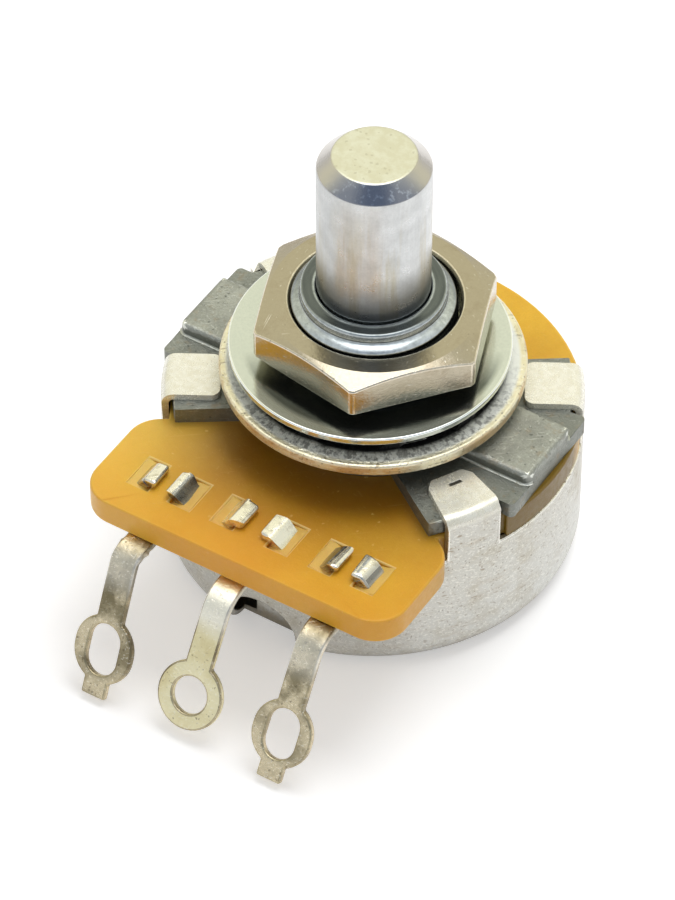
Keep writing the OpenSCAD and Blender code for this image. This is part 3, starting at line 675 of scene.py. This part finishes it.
def slot_burrs():
    """Resin that the punch and the clinching pushed back into the six slots, round the prongs.

    Each is a closed pillow: rings of a rounded oblong that just fills the slot, whose points are half its
    width times the angle's cosine and half its length times the sine, both times 1.45 and kept within -1 and
    1. The rings grow from a point, fall at the rim and close underneath. The top lies 0.13 mm below the
    board's face, slopes down towards the prong by 0.18 mm for each mm of x, and ripples by 0.03 mm."""
    half_w, half_length, square = slot_half_w - 0.003, 1.147, 1.45
    sunk, slope, ripple = 0.13, 0.18, 0.03
    angle = np.arange(40) / 40 * 2 * math.pi
    size = np.array([0, 0.3, 0.6, 0.85, 0.97, 1.0, 1.0, 0.5, 0])[:, None]
    drop = np.array([0, 0, 0, 0, 0.01, 0.04, 0.9, 0.9, 0.9])[:, None]
    top = drop < 0.5
    parts = []
    for pair, side in ((-1, -1), (-1, 1), (0, -1), (0, 1), (1, -1), (1, 1)):
        centre = pair * lug_pitch + side * ((slot_in if pair else middle_slot_in) + slot_half_w)
        x = centre + half_w * size * np.clip(square * np.cos(angle), -1, 1)
        y = slot_row + half_length * size * np.clip(square * np.sin(angle), -1, 1)
        z = board_top - sunk - drop + (slope * side * (x - centre) + ripple * np.sin(5 * x + 3 * y)) * top
        parts.append(np.stack([x, y, z], axis=-1))
    return parts


def merged(name, parts, material):
    """One object of several stacks of rings, its doubled points merged and its faces turned outwards."""
    work = bmesh.new()
    for rings in parts:
        part = ring_mesh(name, rings)
        work.from_mesh(part)
        bpy.data.meshes.remove(part)
    bmesh.ops.remove_doubles(work, verts=work.verts, dist=0.002 * mm)
    bmesh.ops.recalc_face_normals(work, faces=work.faces)
    mesh = bpy.data.meshes.new(name)
    work.to_mesh(mesh)
    work.free()
    mesh.shade_smooth()
    mesh.materials.append(material)
    return link(name, mesh, "housing")


burrs = merged("slot_burrs", slot_burrs(), resin_chip)

# Bushing and plate
# One casting in zinc: the plate with its raised bar and the threaded bushing. The casting's skin is matt
# and grey, its edges are worn bright, and the thread is cut afterwards.


hub_r, hub_shown_r = 7.3, 6.35
face_z = 11.25
bore_r, thread_r = 3.21, 4.6
thread_pitch = 0.79
# The front right heading, towards which shade and light are painted on the bushing, shaft and washers.
painted_light_side = (0.53, -0.85, 0)


def cast_zinc(name, body, dark, rough):
    """Matt casting skin: grey grain, darker clouds, pits, a few rubbed lines and brownish stains, and painted
    shade on the levels below the raised face. Round the bushing it is machined, with fine rings, as is seen
    between the lock washer's teeth."""
    made, tree, shader, place = new_material(name)
    cloudy = use(tree, clouds, Vector=place, Scale=0.6, From=0.4, To=0.6)
    grains = use(tree, clouds, Vector=place, Scale=7.0, From=0.3, To=0.72)
    pits = use(tree, specks, Vector=place, Scale=3.2, Size=0.3)
    lines = use(tree, scratches, Vector=place, Fineness=8.0, Length=12.0, Rare=0.67)
    colour = between(tree, times(tree, cloudy, 0.55), body, dark)
    colour = between(tree, times(tree, grains, 0.3), colour, dark)
    colour = between(tree, times(tree, pits, 0.5), colour, rgb(92, 94, 90))
    colour = between(tree, times(tree, lines, 0.3), colour, rgb(226, 228, 222))
    _, away, height_up = split(tree, use(tree, unrolled, Vector=place))
    cut = times(tree, ramp(tree, away, thread_r + 0.3, thread_r + 0.2),
                ramp(tree, height_up, face_z - 0.05, face_z + 0.15))
    turned = stretch(tree, place, (0.4, 0.4, 9.0))
    rings = add(tree, "TexNoise", {"Vector": turned, "Scale": 2.0, "Detail": 3.0}).outputs[0]
    # Painted shade on the plate's levels below the raised face.
    shaded_below_face = ramp(tree, height_up, face_z - 0.15, face_z - 0.55)
    colour = blend(tree, colour, rgb(100, 104, 98), shaded_below_face, 0.4)
    rusty = use(tree, clouds, Vector=place, Scale=1.6, From=0.56, To=0.68)
    colour = blend(tree, colour, rgb(150, 132, 104), rusty, 0.35)
    colour = blend(tree, colour, rgb(158, 164, 160), cut, 0.9)
    height = level(tree, cut, sums(tree, "SUBTRACT", grains, times(tree, pits, 1.5)), rings)
    roughness = level(tree, cut, level(tree, grains, rough - 0.06, rough + 0.1), 0.22)
    finish_material(tree, shader, height, 0.016, Base_Color=colour, Metallic=0.9, Roughness=roughness)
    return made


zinc = cast_zinc("cast zinc", rgb(172, 174, 166), rgb(128, 130, 124), 0.46)
zinc_edge = cast_zinc("worn casting edge", rgb(238, 240, 232), rgb(196, 198, 188), 0.32)


def under_washers(points):
    """Takes the round hub in from 7.3 to 6.35 mm, into the washers' shade, and draws the bushing's plain wall
    inside the threaded one that is made below."""
    away = np.hypot(points[:, 0], points[:, 1])
    to = away.copy()
    to[(np.abs(away - hub_r) < 0.04) & (points[:, 2] < arm_top + 0.1)] = hub_shown_r
    wall = (away < thread_r + 0.3) & (points[:, 2] > face_z + 0.25)
    to[wall] = 3.6 + 0.4 * (away[wall] - 3.2)
    points[:, :2] *= (to / np.maximum(away, 0.01))[:, None]
    points[wall, 2] = 11.4 + 0.75 * (points[wall, 2] - 11.4)
    return points


dressed("bushing_plate", "plate_and_bushing", [zinc, zinc_edge], 0.12, weld=0.04, move=under_washers)


def threaded_wall():
    """The bushing as a closed tube round z, made of rings that follow its section round the axis.

    The section goes up the thread, over the sloped shoulder, up the collar, over its rounded rim and down the
    bore. On the thread the radius is 4.55 mm plus 0.16 times a sine whose phase is the height over the pitch
    minus the angle over a full turn, flattened at its crests. At both ends it fades to a plain 4.6 mm."""
    steps, low, high, deep = 120, face_z + 0.01, 17.1, 0.16
    angle = np.arange(steps) / steps * 2 * math.pi
    height = np.linspace(low, high, 96)
    shoulder = [(thread_r, 17.16), (thread_r, 17.22), (4.57, 17.3), (4.52, 17.36), (4.3, 17.5), (4.16, 17.56)]
    collar = [(4.11, 17.62), (4.09, 17.75), (4.08, 18.0), (4.06, 18.1), (4.0, 18.17), (3.9, 18.2), (3.5, 18.17)]
    mouth = [(3.42, 18.2), (3.3, 18.23), (3.24, 18.22), (bore_r, 18.18), (bore_r, 14.0), (bore_r, low)]
    head = np.array(shoulder + collar + mouth)
    fade = np.clip((high - height) / 0.4, 0, 1) * np.clip((height - low) / 0.3, 0, 1)
    wave = 1.25 * np.sin(2 * math.pi * (height[:, None] / thread_pitch - angle / (2 * math.pi)))
    cut = thread_r + fade[:, None] * (deep * np.clip(wave, -1, 1) - 0.05)
    radius = np.vstack([cut, np.repeat(head[:, :1], steps, axis=1)])
    z = np.concatenate([height, head[:, 1]])[:, None] + 0 * radius
    tube = np.stack([radius * np.cos(angle), radius * np.sin(angle), z], axis=-1)
    return np.concatenate([tube, tube[:1]])


def make_cut_zinc():
    """Zinc off the lathe: dark with grease on the thread and on the collar, and bright on the collar's two
    rims, at its foot and on the shoulder, partly rubbed and partly a painted highlight that is strongest at the
    foot on the front right."""
    made, tree, shader, place = new_material("cut zinc")
    around = use(tree, unrolled, Vector=place, Radius=4.0)
    _, away, height_up = split(tree, around)
    long = stretch(tree, around, (0.12, 1.0, 1.0))
    rings = use(tree, clouds, Vector=long, Scale=4.0, From=0.3, To=0.7)
    fine = use(tree, clouds, Vector=place, Scale=3.0, From=0.3, To=0.7)
    colour = blend(tree, rgb(112, 118, 118), rgb(78, 84, 86), rings, 0.7)
    high = ramp(tree, height_up, 17.7, 17.75)
    mouth = times(tree, high, ramp(tree, away, 3.42, 3.34))
    rim = times(tree, high, ramp(tree, away, 3.92, 4.02))
    # Worn here is partly rubbed metal and partly a painted highlight, made less metallic, strongest at the
    # front right.
    foot = times(tree, ramp(tree, height_up, 17.22, 17.3), ramp(tree, height_up, 17.68, 17.6))
    toward_painted_side = reach(tree, place, painted_light_side)
    foot = times(tree, foot, add(tree, "MapRange", {0: toward_painted_side, 1: -1.5, 2: 3.4, 3: 0.25}).outputs[0])
    worn = sums(tree, "MAXIMUM", foot, times(tree, sums(tree, "MAXIMUM", mouth, rim), 0.6))
    colour = blend(tree, colour, rgb(236, 244, 246), times(tree, worn, level(tree, fine, 1.0, 0.5)))
    finish_material(tree, shader, rings, 0.003, Base_Color=colour, Metallic=level(tree, worn, 0.95, 0.7),
                    Roughness=level(tree, rings, 0.16, 0.26))
    return made


thread = merged("bushing_thread", [threaded_wall()], make_cut_zinc())

# Shaft
# Turned from aluminium bar and left as it comes off the lathe: satin round the side, with a sawn and
# faced tip inside a 45 degree chamfer.


shaft_tip = corners_of("control_shaft")[1, 2]
chamfer_foot = shaft_tip - 0.85
collar_top = 18.2


def make_bar_metal():
    """Drawn aluminium: mottled satin with brownish streaks along its lower part, painted shade on one side,
    dark grease at the foot, a chamfer cut bright whose front right side has a painted bluish reflection with
    painted light flecks, and a flat tip that is matt and creamy with pits."""
    made, tree, shader, place = new_material("drawn aluminium")
    around = use(tree, unrolled, Vector=place, Radius=3.2)
    height_up = split(tree, place)[2]
    mottle = use(tree, clouds, Vector=place, Scale=0.9, From=0.36, To=0.66)
    fine = use(tree, clouds, Vector=place, Scale=9.0, From=0.2, To=0.8)
    long = stretch(tree, around, (1.0, 0.0, 0.07))
    streaks = use(tree, clouds, Vector=long, Scale=0.9, From=0.5, To=0.64)
    streaks = times(tree, streaks, ramp(tree, height_up, shaft_tip - 1.2, shaft_tip - 4.6))
    grain = use(tree, clouds, Vector=place, Scale=7.0, From=0.4, To=0.8)
    hairs = use(tree, clouds, Vector=long, Scale=7.0, From=0.3, To=0.8)
    colour = blend(tree, rgb(214, 216, 216), rgb(174, 176, 176), mottle, 0.5)
    colour = blend(tree, colour, rgb(176, 162, 120), streaks, 0.6)
    colour = blend(tree, colour, rgb(136, 140, 142), grain, 0.2)
    colour = blend(tree, colour, rgb(150, 148, 144), hairs, 0.2)
    colour = blend(tree, colour, rgb(240, 240, 240), fine, 0.15)
    # Painted shade on one side of the shaft.
    painted_shade_side = reach(tree, place, (-0.85, -0.53, 0))
    colour = blend(tree, colour, rgb(140, 142, 140), ramp(tree, painted_shade_side, 0.5, 3.0), 0.35)
    grease = ramp(tree, height_up, collar_top + 3.4, collar_top + 0.4)
    colour = blend(tree, colour, rgb(84, 86, 86), grease, 0.8)
    foot = ramp(tree, height_up, collar_top + 0.22, collar_top + 0.16)
    colour = blend(tree, colour, rgb(210, 216, 218), foot, 0.8)
    cut = ramp(tree, height_up, chamfer_foot - 0.02, chamfer_foot + 0.02)
    tip = ramp(tree, height_up, shaft_tip - 0.04, shaft_tip - 0.01)
    colour = blend(tree, colour, rgb(198, 194, 188), cut)
    # Painted bluish reflection, with painted light flecks, on the chamfer's front right side.
    painted_chamfer_reflection = times(tree, cut, ramp(tree, reach(tree, place, painted_light_side), 1.5, 2.4))
    colour = blend(tree, colour, rgb(112, 122, 146), painted_chamfer_reflection, 0.6)
    flecks = use(tree, clouds, Vector=place, Scale=3.4, From=0.54, To=0.66)
    colour = blend(tree, colour, rgb(236, 240, 246), times(tree, painted_chamfer_reflection, flecks), 0.5)
    pits = use(tree, specks, Vector=place, Scale=3.4, Size=0.45)
    colour = blend(tree, colour, rgb(226, 226, 210), tip)
    creamy = use(tree, clouds, Vector=place, Scale=1.6, From=0.4, To=0.6)
    colour = blend(tree, colour, rgb(208, 204, 178), times(tree, tip, creamy), 0.5)
    colour = blend(tree, colour, rgb(176, 170, 146), times(tree, tip, pits), 0.35)
    rough = level(tree, tip, level(tree, cut, level(tree, mottle, 0.27, 0.33), 0.16), 0.38)
    height = sums(tree, "ADD", fine, times(tree, hairs, 0.6))
    finish_material(tree, shader, height, 0.004, Base_Color=colour, Metallic=1.0, Roughness=rough)
    return made


dressed("control_shaft", "shaft", [make_bar_metal()], 0.08)

# Rotor
# Inside the can: a spring ring in the shaft's groove, a moulded carrier staked to its tail and the bronze
# wiper. They keep the CAD's shapes.

paint("retaining_ring", sheet_metal("oiled spring steel", rgb(112, 108, 104), rgb(80, 74, 68), 0.35))
paint("rotor_carrier", printed_film("moulded carrier", rgb(66, 56, 46), rgb(84, 74, 62), 0.5))
paint("wiper_spring", sheet_metal("phosphor bronze", rgb(222, 178, 116), rgb(188, 142, 84), 0.3))

# Washers and nut
# On the thread, as they come from the packet: an inner-tooth lock washer, a flat washer and a nut. The lock
# washer is scratched and yellow, the flat washer smooth and bluish, the nut a warm nickel.


lock_rim_r = 8.6
# The radius within which the nut's shade is painted on the flat washer.
nut_shade_r = 7.1


def toothed_steel(name, body, stain):
    """Yellow passivated sheet: creamy at the rim with amber patches on its outer wall; pale and barely metallic
    inside it, a painted sheen, with combed dark marks on the photo's side that also stand for painted shade;
    and painted black shade among the teeth, under the flat washer."""
    made, tree, shader, place = new_material(name)
    around = use(tree, unrolled, Vector=place, Radius=8.0)
    away = split(tree, around)[1]
    colour, roughness, height = worn_plate(tree, place, body, stain, 0.34, wear=0.62, dirt=0.35)
    long = stretch(tree, around, (1.0, 0.6, 0.6))
    # Combed dark marks, only on the front right: partly marks and partly painted shade.
    combed = use(tree, clouds, Vector=long, Scale=4.0, From=0.44, To=0.6)
    toward_painted_side = reach(tree, place, painted_light_side)
    combed = times(tree, combed, ramp(tree, toward_painted_side, 0.0, 5.0))
    ambers = use(tree, clouds, Vector=stretch(tree, around, (0.4, 1, 1)), Scale=0.8, From=0.46, To=0.58)
    wall = ramp(tree, away, lock_rim_r - 0.08, lock_rim_r)
    colour = blend(tree, colour, rgb(196, 150, 84), times(tree, ambers, wall), 0.6)
    # Painted sheen: inside the rim the sheet is pale and barely metallic.
    inner = ramp(tree, away, lock_rim_r - 0.28, lock_rim_r - 0.48)
    colour = blend(tree, colour, rgb(250, 254, 248), inner, 0.8)
    colour = blend(tree, colour, rgb(62, 62, 54), times(tree, combed, inner), 0.65)
    # Painted black shade among the teeth, under the flat washer.
    colour = blend(tree, colour, rgb(14, 16, 16), ramp(tree, away, 7.66, 7.4))
    height = sums(tree, "ADD", height, times(tree, times(tree, combed, inner), 2.5))
    metallic = level(tree, inner, 0.85, 0.2)
    finish_material(tree, shader, height, 0.016, Base_Color=colour, Metallic=metallic, Roughness=roughness)
    return made


def rim_rounder(middles):
    """The stamping's outer edges are rounded 0.18 mm wide and its teeth half as much."""
    return np.where(np.hypot(middles[:, 0], middles[:, 1]) > lock_rim_r - 0.1, 1.0, 0.5)


lock_steel = toothed_steel("yellow passivated steel", rgb(240, 234, 206), rgb(212, 198, 152))
lock_edge = toothed_steel("rubbed washer rim", rgb(246, 240, 214), rgb(206, 190, 140))
dressed("lock_washer", "toothed_washer", [lock_steel, lock_edge], 0.18, share=rim_rounder)


def off_centre(points):
    """The flat washer lies 0.16 mm off centre, as its hole is wider than the thread."""
    return points + [-0.136, -0.085, 0]


def plain_steel(name, body, shade, rough):
    """Smooth zinc plate with faint rings, and painted shade of the nut on the front right of its top, next to
    the nut.
    """
    made, tree, shader, place = new_material(name)
    around = use(tree, unrolled, Vector=place, Radius=7.0)
    away = split(tree, around)[1]
    fine = use(tree, clouds, Vector=place, Scale=6.0, From=0.3, To=0.7)
    turned = stretch(tree, around, (0.05, 6.0, 1.0))
    rings = add(tree, "TexNoise", {"Vector": turned, "Scale": 1.0, "Detail": 3.0}).outputs[0]
    colour = blend(tree, body, shade, fine, 0.4)
    toward_painted_side = reach(tree, place, painted_light_side)
    # Painted shade of the nut on the front right of the washer's top, near the nut.
    painted_nut_shade = times(tree, ramp(tree, away, nut_shade_r + 0.35, nut_shade_r), ramp(tree, toward_painted_side, 1.0, 3.6))
    colour = blend(tree, colour, rgb(84, 92, 88), painted_nut_shade, 0.85)
    finish_material(tree, shader, rings, 0.0015, Base_Color=colour, Metallic=0.95,
                    Roughness=level(tree, fine, rough - 0.02, rough + 0.04))
    return made


flat_steel = plain_steel("zinc plated steel", rgb(220, 226, 220), rgb(198, 206, 200), 0.16)
flat_edge = turned_metal("bright washer edge", rgb(244, 248, 246), rgb(228, 234, 232), 0.14,
                         pitch=0.8, marks=0.2)
dressed("flat_washer", "plain_washer", [flat_steel, flat_edge], 0.1, move=off_centre)


def nut_play(points):
    """The nut sits 0.12 mm to one side, within the play of its thread."""
    return points + [0.102, 0.064, 0]


def corners_first(middles):
    """The nut is rubbed round most at its foot, then where the chamfer meets its sides, less at its corners and
    at the rims of its bore, and not at all round its face."""
    away = np.hypot(middles[:, 0], middles[:, 1])
    height = middles[:, 2]
    side = np.where(height > 16.4, 0.5, np.where(height > 15.2, 0.35, 0.7))
    return np.where(away < 5.4, 0.25, np.where(height > 17.2, 0.0, side))


nickel = sheet_metal("warm nickel plate", rgb(184, 175, 155), rgb(162, 148, 124), 0.15,
                     metallic=1.0, depth=0.007, wear=0.74, dirt=0.16)
nickel_edge = sheet_metal("bright nickel edge", rgb(222, 212, 192), rgb(198, 185, 162), 0.15, metallic=0.9)
dressed("hex_nut", "nut", [nickel, nickel_edge], 0.2, angle=15, limit=24, share=corners_first, move=nut_play)

# Table, light and camera
# A white table that the camera sees as plain white but for the part's own shadow, one wide lamp above and
# a little behind, and a pale studio round it that only polished metal shows.

table_size = 0.6
corners = np.array([[-1, -1, 0], [1, -1, 0], [1, 1, 0], [-1, 1, 0]]) * table_size
table_mesh = bpy.data.meshes.new("table")
just_below = 0.02 * mm
table_mesh.from_pydata((corners - [0, 0, just_below]).tolist(), [], [(0, 1, 2, 3)])
table = bpy.data.objects.new("table", table_mesh)
scene.collection.objects.link(table)

table_white = bpy.data.materials.new("white table")
table_white.use_nodes = True
tree = table_white.node_tree
tree.nodes.clear()
paper = add(tree, "BsdfDiffuse", {"Color": (0.9, 0.9, 0.9, 1)})
glow = add(tree, "Emission", {"Color": (1, 1, 1, 1), "Strength": 0.38})
both = add(tree, "AddShader", {0: paper.outputs[0], 1: glow.outputs[0]})
path = add(tree, "LightPath")
seen = sums(tree, "MAXIMUM", path.outputs["Is Camera Ray"], path.outputs["Is Glossy Ray"])
seen = sums(tree, "MAXIMUM", seen, path.outputs["Is Transmission Ray"])
pick = add(tree, "MixShader", {0: seen, 1: paper.outputs[0], 2: both.outputs[0]})
tree.links.new(pick.outputs[0], tree.nodes.new("ShaderNodeOutputMaterial").inputs[0])
table_mesh.materials.append(table_white)

world = bpy.data.worlds.new("studio")
scene.world = world
world.use_nodes = True
tree = world.node_tree
tree.nodes.clear()
path = add(tree, "LightPath")
direction = add(tree, "TexCoord").outputs["Generated"]
height = split(tree, direction)[2]
behind = reach(tree, direction, (-0.53, 0.85, 0))
toward = reach(tree, direction, (0.37, -0.59, 0.71))
walls = between(tree, ramp(tree, behind, -0.2, 0.4),
                (0.62, 0.66, 0.68, 1), (0.98, 0.96, 0.76, 1))
walls = between(tree, ramp(tree, toward, 0.8, 0.97), walls, (0.24, 0.3, 0.4, 1))
ceiling = between(tree, ramp(tree, height, 0.85, 0.95), walls, (3.0, 3.0, 3.0, 1))
studio = between(tree, ramp(tree, height, 0.0, 0.25), (0.75, 0.75, 0.75, 1), ceiling)
plain = add(tree, "Background", {"Color": (1, 1, 1, 1), "Strength": 0.48})
shown = add(tree, "Background", {"Color": studio, "Strength": 1.0})
white = add(tree, "Background", {"Color": (1, 1, 1, 1), "Strength": 1.0})
glossy = add(tree, "MixShader", {0: path.outputs["Is Glossy Ray"], 1: plain.outputs[0], 2: shown.outputs[0]})
final = add(tree, "MixShader", {0: path.outputs["Is Camera Ray"], 1: glossy.outputs[0], 2: white.outputs[0]})
tree.links.new(final.outputs[0], tree.nodes.new("ShaderNodeOutputWorld").inputs[0])


def lamp(name, azimuth, elevation, distance, size, watts):
    """A square white area lamp that looks at the part from a heading and a height, both in degrees."""
    data = bpy.data.lights.new(name, "AREA")
    data.size, data.energy = size, watts
    made = bpy.data.objects.new(name, data)
    scene.collection.objects.link(made)
    a, e = math.radians(azimuth), math.radians(elevation)
    made.location = (math.sin(a) * math.cos(e) * distance, -math.cos(a) * math.cos(e) * distance,
                     math.sin(e) * distance + 0.01)
    made.rotation_euler = (math.pi / 2 - e, 0, a)
    return made


overhead = lamp("overhead", 175, 64, 0.4, 0.26, 0.9)
overhead.visible_glossy = False

cam_data = bpy.data.cameras.new("camera")
cam = bpy.data.objects.new("camera", cam_data)
scene.collection.objects.link(cam)
scene.camera = cam
cam_data.sensor_fit = "HORIZONTAL"
cam_data.sensor_width = 36
photo_w, photo_h = 675, 900
origin_x, origin_y = 372.1, 513.4
lens_pixels = 5221
cam_data.lens = lens_pixels / photo_w * cam_data.sensor_width
turn, rise, away = math.radians(32.05), math.radians(45.53), 0.300
back = np.array([math.sin(turn) * math.cos(rise), -math.cos(turn) * math.cos(rise), math.sin(rise)])
right = np.array([math.cos(turn), math.sin(turn), 0])
up = np.cross(back, right)
pixel = away / lens_pixels
place = away * back - (origin_x - photo_w / 2) * pixel * right + (origin_y - photo_h / 2) * pixel * up
matrix = np.eye(4)
matrix[:3] = np.array([right, up, back, place]).T
cam.matrix_world = Matrix(matrix.tolist())
cam_data.clip_start, cam_data.clip_end = 0.01, 5

scene.view_settings.view_transform = "Standard"
